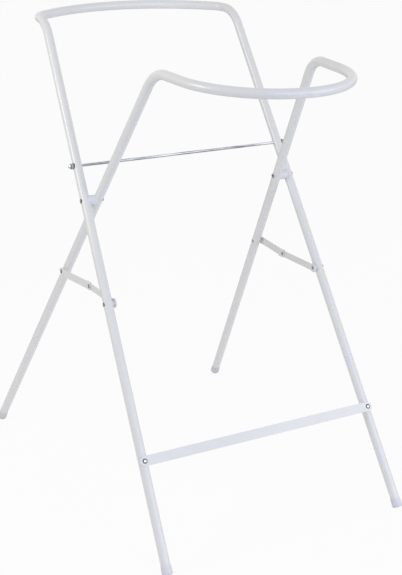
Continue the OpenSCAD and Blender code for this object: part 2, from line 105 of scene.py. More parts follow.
# %% [markdown]
# ## Writing shader maths as Python
#
# A pattern is arithmetic on coordinates, and in the node editor each plus or minus is a Math node.
# They could be placed and linked one by one, but then nobody sees the formula. A small class makes it
# readable: it wraps one output socket, and each Python operator on it adds the Math node that does
# the same. The reflected forms let a plain number stand on the left, as in 1 - crease.


# %% The value class
class Value:
    """What varies over a surface: an output socket that Python arithmetic works on."""

    def __init__(self, recipe, socket):
        self.recipe = recipe
        self.socket = socket

    def _math(self, operation, first, second):
        return self.recipe.node("ShaderNodeMath", {"operation": operation}, {0: first, 1: second})

    def __add__(self, other):
        return self._math("ADD", self, other)

    def __sub__(self, other):
        return self._math("SUBTRACT", self, other)

    def __rsub__(self, other):
        return self._math("SUBTRACT", other, self)

    def __mul__(self, other):
        return self._math("MULTIPLY", self, other)

    __radd__ = __add__
    __rmul__ = __mul__


# %% [markdown]
# ## One method for every other node
#
# A finish and the light of the room are both trees of nodes. Each kind of node could get a function
# of its own, but one method serves them all: it makes the node, sets it up, and then fills its
# sockets. The settings come first, because some nodes only show their sockets after them.


# %% The recipe class
class Recipe:
    """The nodes of one finish, or of the room's light."""

    def __init__(self, tree):
        self.tree = tree

    def node(self, kind, settings=None, inputs=None, out=0):
        """Adds a node: its settings first, then the values or links of its sockets."""
        made = self.tree.nodes.new(kind)
        for key, value in (settings or {}).items():
            if key == "stops":
                self._set_stops(made.color_ramp.elements, value)
            else:
                setattr(made, key, value)
        return self._filled(made, inputs, out)

    def _set_stops(self, elements, stops):
        for element, (position, level) in zip(elements, stops):
            element.position = position
            element.color = (level, level, level, 1)

    def _filled(self, node, inputs=None, out=0):
        for socket, value in (inputs or {}).items():
            if isinstance(value, Value):
                self.tree.links.new(value.socket, node.inputs[socket])
            else:
                node.inputs[socket].default_value = value
        return Value(self, node.outputs[out])

    def ready_made(self, name, inputs=None):
        """A node that Blender put into the tree, with its sockets filled."""
        return self._filled(self.tree.nodes[name], inputs)

    def show(self, surface, output):
        """Links a shader to the tree's output node."""
        self.tree.links.new(surface.socket, self.tree.nodes[output].inputs["Surface"])


# %% [markdown]
# ## Patterns for a finish
#
# A finish is a material, and most of what makes it real is a slow change of colour, gloss or relief
# from place to place. The stand's patterns read Object coordinates, which are metres here, so a
# pattern has its true size and moves with its piece. Colours go through a Mix node and vectors
# through Vector Math, because a Math node keeps only one number of the three.


# %% The finish class
class Finish(Recipe):
    """A surface finish: one material, with the nodes that make its pattern."""

    def __init__(self, name, slot=None, **constants):
        self.material = bpy.data.materials.new(name)
        self.material.use_nodes = True
        super().__init__(self.material.node_tree)
        self.slot = slot or name
        self.feed(**constants)

    def feed(self, **sockets):
        """Fills the shader's own sockets. An underscore stands for a space in their names."""
        spaced = {name.replace("_", " "): value for name, value in sockets.items()}
        self.ready_made("Principled BSDF", spaced)

    def place(self):
        """Where a point lies on the stand, in metres."""
        return self.node("ShaderNodeTexCoord", out="Object")

    def noise(self, size, detail=2, stretch=None):
        """A soft random pattern from 0 to 1, with features of about that size in metres."""
        spot = self.place()
        if stretch:
            spot = self.node("ShaderNodeVectorMath", {"operation": "MULTIPLY"}, {0: spot, 1: stretch})
        return self.node("ShaderNodeTexNoise", None,
                         {"Vector": spot, "Scale": 1 / size, "Detail": detail})

    def ramp(self, value, *stops):
        """Turns 0 to 1 into levels between two stops."""
        return self.node("ShaderNodeValToRGB", {"stops": stops}, {"Fac": value})

    def colour(self, share, first, second):
        """A colour between two colours."""
        return self.node("ShaderNodeMix", {"data_type": "RGBA"},
                         {0: share, 6: first, 7: second}, out=2)

    def bump(self, relief, depth):
        """Tilts the surface as a relief of that depth in metres would."""
        self.feed(Normal=self.node("ShaderNodeBump", None, {"Height": relief, "Distance": depth}))


# %% [markdown]
# ## Colours
#
# A shader counts light, and a picture file counts steps that look even to the eye. A colour that was
# picked in a picture editor would come out too pale if its numbers went straight into a shader, so
# this helper undoes the picture's curve first.


# %% The colour helper
def shade(red, green, blue):
    """A colour as a picture editor shows it, from 0 to 255, in the linear light of a shader."""
    parts = [part / 255 for part in (red, green, blue)]
    return (*[part / 12.92 if part <= 0.04045 else ((part + 0.055) / 1.055) ** 2.4
              for part in parts], 1)


print("a picture's middle grey, as a shader takes it:", rounded(shade(128, 128, 128), 3))

# %% [markdown]
# ## Powder coat
#
# The frames, links and strap are powder coated: white dust is blown on and baked until it flows. It
# comes out glossy, slightly blue, and never quite flat, with shallow dimples a millimetre or two
# across that are called orange peel. They could be modelled, but at this size a bump of two noises
# looks the same. A larger noise shifts the colour a little, because the coat is thicker in one place
# than in another, and another one dulls the gloss in patches, where hands have wiped it.

# %% The white powder coat
COAT_CLOUDS, COAT_DUST = 0.09, 0.004
WIPED_PATCHES, FLOWED_PATCHES = 0.05, 0.12
DIMPLES, FINE_DIMPLES, DIMPLE_DEPTH = 0.0016, 0.0006, 0.000018

powder_coat = Finish("white_powder_coat", IOR=1.5, Coat_IOR=1.5, Coat_Roughness=0.16)
clouds = powder_coat.noise(COAT_CLOUDS, detail=3)
dust = powder_coat.noise(COAT_DUST, detail=4)
powder_coat.feed(
    Base_Color=powder_coat.colour(clouds * 0.7 + dust * 0.3,
                                  shade(227, 227, 229), shade(234, 234, 236)),
    Roughness=0.26 + 0.16 * powder_coat.noise(WIPED_PATCHES, detail=4),
    Coat_Weight=0.3 + 0.3 * powder_coat.noise(FLOWED_PATCHES))
orange_peel = powder_coat.noise(DIMPLES) * 0.75 + powder_coat.noise(FINE_DIMPLES) * 0.25
powder_coat.bump(orange_peel, DIMPLE_DEPTH)
print("powder coat:", len(powder_coat.tree.nodes), "nodes")

# %% [markdown]
# ## Moulded plastic
#
# The foot caps, spacers and washers come from a mould. The mould's steel was sparked to a fine grain,
# which takes the shine off the plastic. The caps get dirty where they meet the floor, so their colour
# darkens over the last few millimetres. That could be painted by hand, but a ramp on the height does
# it for all four at once, and a noise breaks it up into scuffs.

# %% The white plastic
MOULD_GRAIN, GRAIN_DEPTH = 0.0005, 0.00003
SCUFFS = 0.006
PER_CENTIMETRE = 100

white_plastic = Finish("white_plastic", IOR=1.46)
grain = white_plastic.noise(MOULD_GRAIN, detail=3)
height = white_plastic.node("ShaderNodeSeparateXYZ", None, {0: white_plastic.place()}, out="Z")
scuffs = white_plastic.noise(SCUFFS, detail=5)
near_floor = white_plastic.ramp(height * PER_CENTIMETRE, (0.0, 0.55), (0.7, 0.0))
white_plastic.feed(
    Base_Color=white_plastic.colour(near_floor * scuffs,
                                    shade(228, 229, 235), shade(176, 174, 172)),
    Roughness=0.28 + 0.18 * scuffs)
white_plastic.bump(grain, GRAIN_DEPTH)
print("plastic:", len(white_plastic.tree.nodes), "nodes")

# %% [markdown]
# ## Bright steel
#
# The rivets are plated and polished by the tool that set them. In a white room a polished dome
# mirrors white nearly everywhere, so its dark parts are painted. Each turned piece carries an
# attribute named `rim`, which is 1 in the crease round a head, where light hardly gets in, and on a
# dome's edge, and low on its bright middle; the finish darkens and dulls the metal by it, as painted
# shade and painted reflection. A pattern by height or angle would miss them, because every rivet
# points its own way.

# %% The rivets' steel
TARNISH, HAMMERED, HAMMER_DEPTH = 0.003, 0.0007, 0.00002

rivet_steel = Finish("rivet_steel", slot="bright_steel")
painted_shade_mark = rivet_steel.node("ShaderNodeAttribute", {"attribute_name": "rim"}, out="Fac")
# painted shade and painted dark reflection: where the rim attribute is high, the metal is painted dark
# and dulled
painted_shade_share = rivet_steel.ramp(painted_shade_mark, (0.3, 0.0), (0.62, 1.0))
tarnish = rivet_steel.noise(TARNISH, detail=5)
rivet_steel.feed(
    Base_Color=rivet_steel.colour(painted_shade_share * (0.7 + 0.3 * tarnish),
                                  shade(224, 226, 230), shade(44, 45, 49)),
    Metallic=1 - 0.5 * painted_shade_share,
    Roughness=0.2 + 0.12 * tarnish + 0.25 * painted_shade_share)
rivet_steel.bump(rivet_steel.noise(HAMMERED, detail=3), HAMMER_DEPTH)
print("rivets' steel:", len(rivet_steel.tree.nodes), "nodes")

# %% [markdown]
# ## Drawn steel
#
# The tie rod was pulled through a die, which leaves long streaks. A noise makes them when its
# coordinates are squeezed along the rod, and a second, rounder noise lets them come and go. Their
# colour runs from dark grey to bright: partly the die's marks, and partly painted dark reflection
# along the polished rod. A picture of brushed steel would do as well, but it would have to be
# wrapped and would repeat.

# %% The tie rod's steel
STREAKS, BLOTCHES, STREAK_DEPTH = 0.0032, 0.011, 0.00003

rod_steel = Finish("drawn_steel")
streaks = rod_steel.noise(STREAKS, detail=3, stretch=(0.03, 1, 1))
blotches = rod_steel.noise(BLOTCHES, detail=4, stretch=(0.5, 1, 1))
# partly the die's streaks, partly painted dark reflection
drawn = rod_steel.ramp(streaks * 0.75 + blotches * 0.25, (0.36, 0.0), (0.54, 1.0))
rod_steel.feed(
    Base_Color=rod_steel.colour(drawn, shade(92, 94, 100), shade(212, 214, 219)),
    Metallic=0.92 + 0.08 * streaks,
    Roughness=0.22 + 0.2 * blotches)
rod_steel.bump(streaks, STREAK_DEPTH)
solids["tie_rod"].data.materials[0] = rod_steel.material
print("rod's steel:", len(rod_steel.tree.nodes), "nodes")

# %% [markdown]
# ## Making a piece
#
# Every new piece is drawn in millimetres, in the stand's own axes, so that its object can stay at the
# origin. One function turns the finished mesh into an object: it scales it to metres, turns the faces
# outwards, shades it smooth except along real edges, puts it on the body it rides on, hides the solid
# it stands for and gives it its finish's material. Doing this piece by piece would leave one
# forgotten somewhere.

# %% The piece maker
WELD_MM = 1e-4


def add_piece(name, mesh, body, node, finish, sharp=35):
    bmesh.ops.remove_doubles(mesh, verts=mesh.verts, dist=WELD_MM)
    bmesh.ops.recalc_face_normals(mesh, faces=mesh.faces)
    mesh.transform(Matrix.Scale(0.001, 4))
    data = bpy.data.meshes.new(name)
    mesh.to_mesh(data)
    mesh.free()
    data.shade_smooth()
    data.set_sharp_from_angle(angle=math.radians(sharp))
    data.materials.append(finish.material)
    made = bpy.data.objects.new(name, data)
    bpy.context.scene.collection.objects.link(made)
    made.modifiers.new("flat faces stay flat", "WEIGHTED_NORMAL").keep_sharp = True
    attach(made, body)
    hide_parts(node)
    print(name, "has", len(data.polygons), "faces")


# %% [markdown]
# ## Left and right, and axes
#
# The stand's left and right sides mirror each other, so a piece is made once for the right and
# flipped for the left. Most pieces are turned about their own Z. A piece could be placed with three
# angles, but axes that are built from the way it points need no trial, and they can't be wrong by a
# quarter turn unnoticed.

# %% Axes for the pieces
QUARTER = math.pi / 2
SIDES = {"right": 1, "left": -1}


def axes_at(point, along, across):
    """The axes at a point: Z along one way, and X across it."""
    turn = Matrix((across, along.cross(across), along)).transposed()
    return Matrix.Translation(point) @ turn.to_4x4()


def crosswise(point):
    """The axes at a point with Z across the stand, to the right."""
    return Matrix.Translation(point) @ Matrix.Rotation(QUARTER, 4, "Y")


def flipped(side):
    """Mirrors a right-hand piece to the left where needed."""
    return Matrix.Scale(side, 4, (1, 0, 0))


def middle(low, high):
    """The middle of a solid's box, in millimetres."""
    return (low + high) * 500


pivot = middle(*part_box("pivot_spacer_right"))
print("pivot:", rounded(pivot, 2))

# %% [markdown]
# ## The bent tubes
#
# Each frame is one length of tube: a leg, a bend into the hoop, a corner, the bowed end, and the same
# back again. A curve with a round bevel would do, but its corners are only as true as its handles.
# The script bends the tube as the workshop does: it starts with the tube's end ring, runs it straight
# on or spins it about a bend's centre, and carries the axes along. The roll turns the next bend's
# plane.


# %% The tube bender
class Tube:
    """A tube that is bent up step by step from its end ring."""

    FACETS = 40
    STEP = math.radians(3)
    NO_BEND = 1e-3

    def __init__(self, axes, radius, wall):
        self.mesh = bmesh.new()
        self.axes = axes
        for r in (radius, radius - wall):
            bmesh.ops.create_circle(self.mesh, segments=self.FACETS, radius=r, matrix=axes)
        self.ring = list(self.mesh.edges)
        bmesh.ops.bridge_loops(self.mesh, edges=self.ring)

    def run(self, length):
        made = bmesh.ops.extrude_edge_only(self.mesh, edges=self.ring)["geom"]
        verts = [g for g in made if isinstance(g, bmesh.types.BMVert)]
        bmesh.ops.translate(self.mesh, verts=verts,
                            vec=self.axes.to_3x3() @ Vector((0, 0, length)))
        self.ring = [g for g in made if isinstance(g, bmesh.types.BMEdge)]
        self.axes = self.axes @ Matrix.Translation((0, 0, length))

    def bend(self, radius, angle, roll=0):
        if angle < self.NO_BEND:
            return
        axes = self.axes @ Matrix.Rotation(roll, 4, "Z")
        made = bmesh.ops.spin(self.mesh, geom=self.ring, cent=axes @ Vector((radius, 0, 0)),
                              axis=axes.to_3x3() @ Vector((0, 1, 0)), angle=angle,
                              steps=max(2, round(angle / self.STEP)))["geom_last"]
        self.ring = [g for g in made if isinstance(g, bmesh.types.BMEdge)]
        self.axes = (axes @ Matrix.Translation((radius, 0, 0)) @ Matrix.Rotation(angle, 4, "Y")
                     @ Matrix.Translation((-radius, 0, 0)))

    def close(self):
        bmesh.ops.bridge_loops(self.mesh, edges=self.ring)
        return self.mesh


print("a right-angled bend takes", round(QUARTER / Tube.STEP), "steps")

# %% [markdown]
# ## The two frames
#
# A frame's path follows from a few sizes. The leg leans and closes in towards the top, the hoop
# nearly lies flat, and the bend between them has to take up both. Its angle, and the roll from it to
# the hoop's plane, could be tried out by eye. They come from the two directions with a little vector
# work instead, so each frame closes exactly on its other foot.

# %% A frame's drawing
CAP_R, CAP_ROUND, CAP_FLAT = 10.25, 4, 0.5
LEAN = 32.8
OUTER_HALF, INNER_HALF = 232, 204.6


class Frame:
    """One bent frame, as on the workshop's drawing, with its hoop towards +Y of its own axes."""

    def __init__(self, turned, half_width, lean, taper, leg_up, bend_r, dip, side, toe,
                 corner_r, bow_r):
        self.axes = (Matrix.Translation((0, pivot.y, pivot.z))
                     @ Matrix.Rotation(turned, 4, "Z"))
        self.half_width, self.leg_up, self.bend_r = half_width, leg_up, bend_r
        self.side, self.corner_r, self.bow_r = side, corner_r, bow_r
        self.lean, self.taper, self.dip, self.toe = map(math.radians, (lean, taper, dip, toe))
        self.leg_way = Vector((-math.tan(self.taper), math.sin(self.lean),
                               math.cos(self.lean))).normalized()
        self.side_way = Vector((-math.sin(self.toe), math.cos(self.toe) * math.cos(self.dip),
                                -math.cos(self.toe) * math.sin(self.dip)))
        self.bend_angle = math.acos(self.leg_way.dot(self.side_way))

    def on_leg(self, up):
        """A point on the leg's middle line, that far up the leaning plane from the pivot."""
        return Vector((self.half_width - up * math.tan(self.taper), up * math.sin(self.lean),
                       up * math.cos(self.lean)))

    def cap_height(self):
        """Height of the middle of a cap's sole, which is cut flat by the floor."""
        way = self.leg_way
        return CAP_ROUND * (1 - way.z) - CAP_FLAT + (CAP_R - CAP_ROUND) * math.hypot(way.x, way.y)

    def foot(self, raised=0):
        """A point on the leg's middle line, that far along the leg from the cap's sole."""
        down = (pivot.z - self.cap_height()) / math.cos(self.lean)
        return self.on_leg(-down) + self.leg_way * raised

    def inwards(self):
        """The way from the leg to the inside of its bend."""
        return (self.side_way - self.leg_way * self.side_way.dot(self.leg_way)).normalized()

    def hoop_roll(self):
        """The turn about the hoop's side from the leg's bend to the hoop's own plane."""
        way = self.side_way
        bend = -(self.leg_way - way * self.leg_way.dot(way)).normalized()
        hoop = Vector((0, math.sin(self.dip), math.cos(self.dip))).cross(way)
        return math.atan2(way.dot(bend.cross(hoop)), bend.dot(hoop))

    def hoop_corner(self):
        """The corner's radius and half of the bowed end's angle."""
        half = (self.on_leg(self.leg_up) + (self.leg_way + self.side_way)
                * self.bend_r * math.tan(self.bend_angle / 2)).x - self.side * math.sin(self.toe)
        radius = min(self.corner_r, half / math.cos(self.toe))
        return radius, math.asin(max(0, half - radius * math.cos(self.toe))
                                 / (self.bow_r - radius))


outer = Frame(turned=0, half_width=OUTER_HALF, lean=LEAN, taper=2.2, leg_up=347, bend_r=65,
              dip=-4.5, side=2, toe=4, corner_r=34, bow_r=354)
inner = Frame(turned=math.pi, half_width=INNER_HALF, lean=LEAN, taper=6.5, leg_up=283, bend_r=59,
              dip=3.4, side=54, toe=3.9, corner_r=INNER_HALF, bow_r=2 * INNER_HALF)
print("bends of", rounded(map(math.degrees, (outer.bend_angle, inner.bend_angle))), "degrees")

# %% [markdown]
# ## Bending them
#
# A bender works along the tube from one end to the other: up the leg, round the first bend, along the
# hoop's side, round the corners and the bow, and then the same in reverse. Half a frame could be
# mirrored instead, but a seam in the middle of a glossy bow shows. The far end's place is printed, and
# it has to mirror the near one's.

# %% The two bent tubes
TUBE_R, TUBE_WALL = 9, 1
CAP_BOTTOM = 3


def bent_tube(drawing):
    start = drawing.foot(CAP_BOTTOM)
    leg = (drawing.on_leg(drawing.leg_up) - start).length
    roll = drawing.hoop_roll()
    corner_r, bow = drawing.hoop_corner()
    corner = QUARTER - drawing.toe - bow
    end_ring = drawing.axes @ axes_at(start, drawing.leg_way, drawing.inwards())
    tube = Tube(end_ring, TUBE_R, TUBE_WALL)
    tube.run(leg)
    tube.bend(drawing.bend_r, drawing.bend_angle)
    tube.run(drawing.side)
    tube.bend(corner_r, corner, roll)
    tube.bend(drawing.bow_r, 2 * bow)
    tube.bend(corner_r, corner)
    tube.run(drawing.side)
    tube.bend(drawing.bend_r, drawing.bend_angle, -roll)
    tube.run(leg)
    print("tube from", rounded(end_ring.translation), "to", rounded(tube.axes.translation))
    return tube.close()


add_piece("outer_frame_bent_tube", bent_tube(outer), "outer_frame", "outer_tube", powder_coat)
add_piece("inner_frame_bent_tube", bent_tube(inner), "inner_frame", "inner_tube", powder_coat)

# %% [markdown]
# ## Turned pieces
#
# Rivets, nuts and caps are round, so each is one half outline that is spun about its axis. The pen
# below draws the outline in the XZ plane, with straight strokes and with arcs that are spun
# themselves. A primitive sphere on a cylinder would be quicker, but it has no rolled edge, no crease
# under the head and no hollow in the end, which are what makes a rivet look like one.


# %% The pen for turned outlines
class Outline:
    """Half the outline of a turned piece, drawn from the front end of its axis to the back end."""

    def __init__(self, height):
        self.mesh = bmesh.new()
        # rim holds painted shade and painted reflection: 1 where the steel is painted dark, 0 where it
        # is painted bright
        self.rim = self.mesh.verts.layers.float.new("rim")
        self.tip = self.mesh.verts.new((0, 0, height))

    def line(self, radius, height, rim=0.0):
        made = bmesh.ops.extrude_vert_indiv(self.mesh, verts=[self.tip])["verts"][0]
        made.co = (radius, 0, height)
        made[self.rim] = rim
        self.tip = made

    def lines(self, *corners):
        for corner in corners:
            self.line(*corner)

    def arc(self, radius, height, degrees, steps, rim=None):
        """Swings the pen about a centre, from the front over the outside to the back."""
        start = self.tip[self.rim]
        for step in range(steps):
            made = bmesh.ops.spin(self.mesh, geom=[self.tip], cent=(radius, 0, height),
                                  axis=(0, 1, 0), angle=math.radians(degrees / steps),
                                  steps=1)["geom_last"]
            self.tip = next(g for g in made if isinstance(g, bmesh.types.BMVert))
            if rim is not None:
                self.tip[self.rim] = start + (rim - start) * (step + 1) / steps

    def turn(self, sides=40):
        bmesh.ops.spin(self.mesh, geom=self.mesh.verts[:] + self.mesh.edges[:], cent=(0, 0, 0),
                       axis=(0, 0, 1), angle=math.tau, steps=sides, use_merge=True)
        bmesh.ops.remove_doubles(self.mesh, verts=self.mesh.verts, dist=WELD_MM)
        return self.mesh


def dome(radius, rise):
    """The ball that a dome is cut from: its radius, and the swing from its tip to its edge."""
    ball = (radius ** 2 + rise ** 2) / (2 * rise)
    return ball, math.degrees(math.asin(radius / ball))


print("a rivet's dome of 9 by 1.1 mm is cut from a ball of radius", round(dome(4.5, 1.1)[0], 1))

# %% [markdown]
# ## Rivets' ends
#
# A rivet has a low dome on the outside and, on the inside, the end of its shank rolled over into a
# ring with a hollow. Both could be drawn with smooth curves only, but the thin crease where the head
# meets what it holds is what the eye looks for. So the pen marks it, and the finish darkens it as
# painted shade. The pen also marks painted reflection on a dome, bright in the middle and dark at its
# edge, and painted shade in a rolled end's hollow.

# %% The rivets' ends
HEAD_RISE, HEAD_RIM = 1.1, 0.2
UNDERCUT, UNDERCUT_WIDTH = 0.05, 0.15
ROLL_RISE, ROLL_EDGE = 0.4, 0.3
HOLLOWNESS = 3.4
DOME_STEPS = 8

End = namedtuple("End", "kind diameter depth")


def draw_front(pen, tip, end):
    """The front end of a rivet, from the axis to the back of its head."""
    radius = end.diameter / 2
    if end.kind == "dome":
        ball, swing = dome(radius, HEAD_RISE)
        # painted reflection: the dome runs from bright at its tip to dark at its edge, and the crease
        # under it is painted shade
        pen.arc(0, tip - ball, swing, DOME_STEPS, rim=1)
        pen.line(radius + UNDERCUT, tip - HEAD_RISE - UNDERCUT_WIDTH, rim=1)
    pen.line(radius, tip - end.depth, rim=1)


def draw_back(pen, tip, end):
    """The back end of a rivet, from the front of its head to the axis."""
    radius = end.diameter / 2
    pen.line(radius, tip + end.depth, rim=1)
    if end.kind == "dome":
        ball, swing = dome(radius, HEAD_RISE)
        pen.line(radius + UNDERCUT, tip + HEAD_RISE + UNDERCUT_WIDTH, rim=1)
        pen.line(radius, tip + HEAD_RISE, rim=1)
        # painted reflection: the back dome runs from dark at its edge to bright at its tip
        pen.arc(0, tip + ball, swing, DOME_STEPS, rim=0)
    elif end.kind == "rolled":
        tip += end.depth - ROLL_RISE - HEAD_RIM
        hollow = end.diameter / HOLLOWNESS
        # painted shade in the hollow, with a painted highlight on the rolled ring
        pen.line(radius, tip + ROLL_EDGE, rim=1)
        pen.arc(radius - ROLL_EDGE, tip + ROLL_EDGE, 90, steps=4, rim=0.4)
        pen.line(hollow, tip, rim=0.2)
        pen.arc(hollow, tip + ROLL_EDGE, 90, steps=4, rim=0.8)
        pen.line(0, tip + ROLL_RISE, rim=1)
    else:
        pen.line(0, tip, rim=0)


seat = HEAD_RISE + HEAD_RIM
print("a domed head needs", seat, "mm")

# %% [markdown]
# ## Rivets across the stand
#
# The pivots, the stays and the knees are riveted straight across the stand. The places could be
# written down for each rivet, but the solid's own box already says where its two tips are, so the
# rivet can't drift off it. A domed tip is then pressed a little lower than the solid's, as the
# photograph's are.

# %% The rivets across the stand
PRESSED = 0.7


def rivet(front, back, shank_d, front_end, back_end):
    """A whole rivet along Z, between its two tips."""
    pen = Outline(front)
    draw_front(pen, front, front_end)
    pen.line(shank_d / 2, front - front_end.depth, rim=1)
    pen.line(shank_d / 2, back + back_end.depth, rim=1)
    draw_back(pen, back, back_end)
    return pen.turn()


def add_cross_rivet(kind, body, shank_d, front_end, back_end):
    """The same rivet on both sides, across the stand, with its front end outside."""
    low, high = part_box(f"{kind}_right")
    half = (high.x - low.x) * 500
    front = half - PRESSED if front_end.kind == "dome" else half
    for name, side in SIDES.items():
        mesh = rivet(front, -half, shank_d, front_end, back_end)
        mesh.transform(flipped(side) @ crosswise(middle(low, high)))
        add_piece(f"{kind}_{name}.turned", mesh, body.format(name), f"{kind}_{name}", rivet_steel)
    print(kind, "is", round(front + half, 1), "mm long")


plain = End("plain", 4.5, 0.1)
add_cross_rivet("pivot_rivet", "outer_frame", 5,
                End("dome", 9, seat + 1.4), End("rolled", 9, 2.7))
add_cross_rivet("rear_stay_rivet", "inner_frame", 4.5,
                End("dome", 8, seat), End("rolled", 8, 2.6))
add_cross_rivet("front_stay_rivet", "outer_frame", 4.5, End("dome", 8, seat + 1.1), plain)
add_cross_rivet("front_stay_rivet_end", "{}_front_link", 4.5, plain, End("rolled", 8, 2.4))
add_cross_rivet("knee_rivet", "{}_rear_link", 4.5, End("dome", 8, seat), End("rolled", 8, 2.4))

# %% [markdown]
# ## The strap's rivets
#
# The strap's rivets go through the outer legs square to the strap, so they lean with it. Their front
# domes are wider, and their back ends are small domes against the round of the tube. They could be
# laid level and turned afterwards, but the leg's own directions already give their axes.

# %% The strap's rivets
STRAP_DOWN, STRAP_THICK = 509, 2
strap_point = outer.axes @ outer.on_leg(-STRAP_DOWN)
strap_front = Vector((0, -math.cos(outer.lean), math.sin(outer.lean)))
strap_axes = axes_at(strap_point, strap_front, Vector((1, 0, 0)))
for name, side in SIDES.items():
    mesh = rivet(TUBE_R + STRAP_THICK + seat, -TUBE_R - seat, 5,
                 End("dome", 9.6, seat), End("dome", 8, seat + 1))
    mesh.transform(flipped(side) @ strap_axes)
    node = f"strap_rivet_{name}"
    add_piece(f"{node}.turned", mesh, "outer_frame", node, rivet_steel)
print("strap rivets at", rounded(strap_point))

# %% [markdown]
# ## The cap nuts' collar and dome
#
# The tie rod ends in cap nuts: a hexagon, a dome over the thread's end and a thin round collar
# against the tube. The round parts could be three primitives, but a single turned outline has the
# collar's worn edge and the crease at the dome's foot. It slips into the hexagon where nobody sees it.

# %% The nuts' collar and dome
NUT_FLATS, HEX_HEIGHT = 10, 5
COLLAR_D, COLLAR_THICK, COLLAR_BACK = 12, 1, -2.4
DOME_RISE, DOME_INSET, DOME_STEM = 4.2, 0.2, 0.4
NUT_TIP = HEX_HEIGHT + DOME_STEM + DOME_RISE


def draw_collar_and_dome():
    pen = Outline(NUT_TIP)
    radius = NUT_FLATS / 2 - DOME_INSET
    ball, swing = dome(radius, DOME_RISE)
    # painted reflection: the dome is marked dark at its tip and foot and bright between, and the
    # collar's top lighter towards its edge as a painted highlight
    pen.tip[pen.rim] = 0.8
    pen.arc(0, NUT_TIP - ball, swing / 2, steps=5, rim=0)
    pen.arc(0, NUT_TIP - ball, swing / 2, steps=5, rim=0.8)
    pen.lines((radius, HEX_HEIGHT - 0.1, 1),
              (radius - 1, HEX_HEIGHT - 0.5, 1),
              (radius - 1, COLLAR_THICK + 0.5, 1),
              (NUT_FLATS / 2 - 0.1, COLLAR_THICK, 1),
              (COLLAR_D / 2 - 0.2, COLLAR_THICK, 0.5),
              (COLLAR_D / 2, COLLAR_THICK - 0.2, 0.7),
              (COLLAR_D / 2, COLLAR_BACK, 1),
              (0, COLLAR_BACK, 1))
    return pen.turn()


print("a nut is", round(NUT_TIP, 1), "mm high")

# %% [markdown]
# ## The cap nuts' hexagon
#
# A nut's hexagon has its outer corners turned off, which leaves small slanted facets. Cutting it with
# a cone would give truer curves that nobody sees at this size. Here it is a six-sided circle,
# extruded, with its outer corners bevelled as points and then its edges by a hair, in the mesh that
# already holds collar and dome.

# %% The cap nuts
HEX_FACET, HEX_EDGE = 0.75, 0.12


def add_hexagon(mesh):
    turned_faces = set(mesh.faces)
    ring = bmesh.ops.create_circle(mesh, cap_ends=True, segments=6, radius=NUT_FLATS / math.sqrt(3),
                                   matrix=Matrix.Translation((0, 0, COLLAR_THICK))
                                   @ Matrix.Rotation(QUARTER, 4, "Z"))["verts"]
    base = [f for f in mesh.faces if f not in turned_faces]
    rim = mesh.verts.layers.float["rim"]
    # painted shade: the whole hexagon is marked half dark
    for corner in ring:
        corner[rim] = 0.45
    top = bmesh.ops.extrude_face_region(mesh, geom=base)["geom"]
    corners = [g for g in top if isinstance(g, bmesh.types.BMVert)]
    bmesh.ops.translate(mesh, verts=corners, vec=(0, 0, HEX_HEIGHT - COLLAR_THICK))
    bmesh.ops.bevel(mesh, geom=corners, offset=HEX_FACET, offset_type="OFFSET",
                    affect="VERTICES", segments=1, profile=0.5, material=-1)
    hexagon = [f for f in mesh.faces if f not in turned_faces]
    edges = {e for f in hexagon for e in f.edges if e.calc_face_angle(0) > math.radians(40)}
    bmesh.ops.bevel(mesh, geom=list(edges), offset=HEX_EDGE, offset_type="OFFSET",
                    affect="EDGES", segments=1, profile=0.5, material=-1)


low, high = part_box("rod_nut_right")
tip = Vector((high.x, (low.y + high.y) / 2, (low.z + high.z) / 2)) * 1000
for name, side in SIDES.items():
    mesh = draw_collar_and_dome()
    add_hexagon(mesh)
    mesh.transform(flipped(side) @ crosswise(tip) @ Matrix.Translation((0, 0, -NUT_TIP)))
    node = f"rod_nut_{name}"
    add_piece(f"{node}.turned", mesh, "outer_frame", node, rivet_steel, sharp=25)
print("cap nuts at", rounded(tip))

# %% [markdown]
# ## A foot cap
#
# A cap is a short moulded sleeve that grips the tube's end. It widens a little from its thin rounded
# rim to a fat, rounded foot with the mould's small gate mark in its middle. A cylinder with a bevel
# would have no bore and no rim. Here it is one turned outline with both.

# %% A foot cap
CAP_H, CAP_LIP = 18, 9.6
BORE_R = TUBE_R + 0.02
GATE_R, GATE_DEPTH = 3, 0.35


def foot_cap():
    slope = (CAP_R - CAP_LIP) / (CAP_H - CAP_ROUND)
    pen = Outline(CAP_BOTTOM)
    pen.lines((TUBE_R - 0.3, CAP_BOTTOM),
              (BORE_R, CAP_BOTTOM + 0.3),
              (BORE_R, CAP_H - 0.25),
              (TUBE_R + 0.2, CAP_H),
              (CAP_LIP - 0.15, CAP_H),
              (CAP_LIP, CAP_H - 0.2))
    for share in (0.25, 0.5, 0.75, 1):
        height = CAP_H - share * (CAP_H - CAP_ROUND)
        pen.line(CAP_R - slope * (height - CAP_ROUND), height)
    pen.arc(CAP_R - CAP_ROUND, CAP_ROUND, 90, steps=8)
    pen.lines((GATE_R, 0), (GATE_R - 0.4, GATE_DEPTH), (0, GATE_DEPTH))
    return pen.turn(sides=48)


print("a cap is", CAP_H, "mm high and", 2 * CAP_R, "mm across")

# %% [markdown]
# ## Standing on the caps
#
# The floor has flattened the part that each cap stands on. A cap could simply reach below the floor,
# but then it would be bigger than its solid, and from below it would look round. So each cap is cut by
# the floor's plane with a bisect, and the flat is filled.

# %% The four foot caps


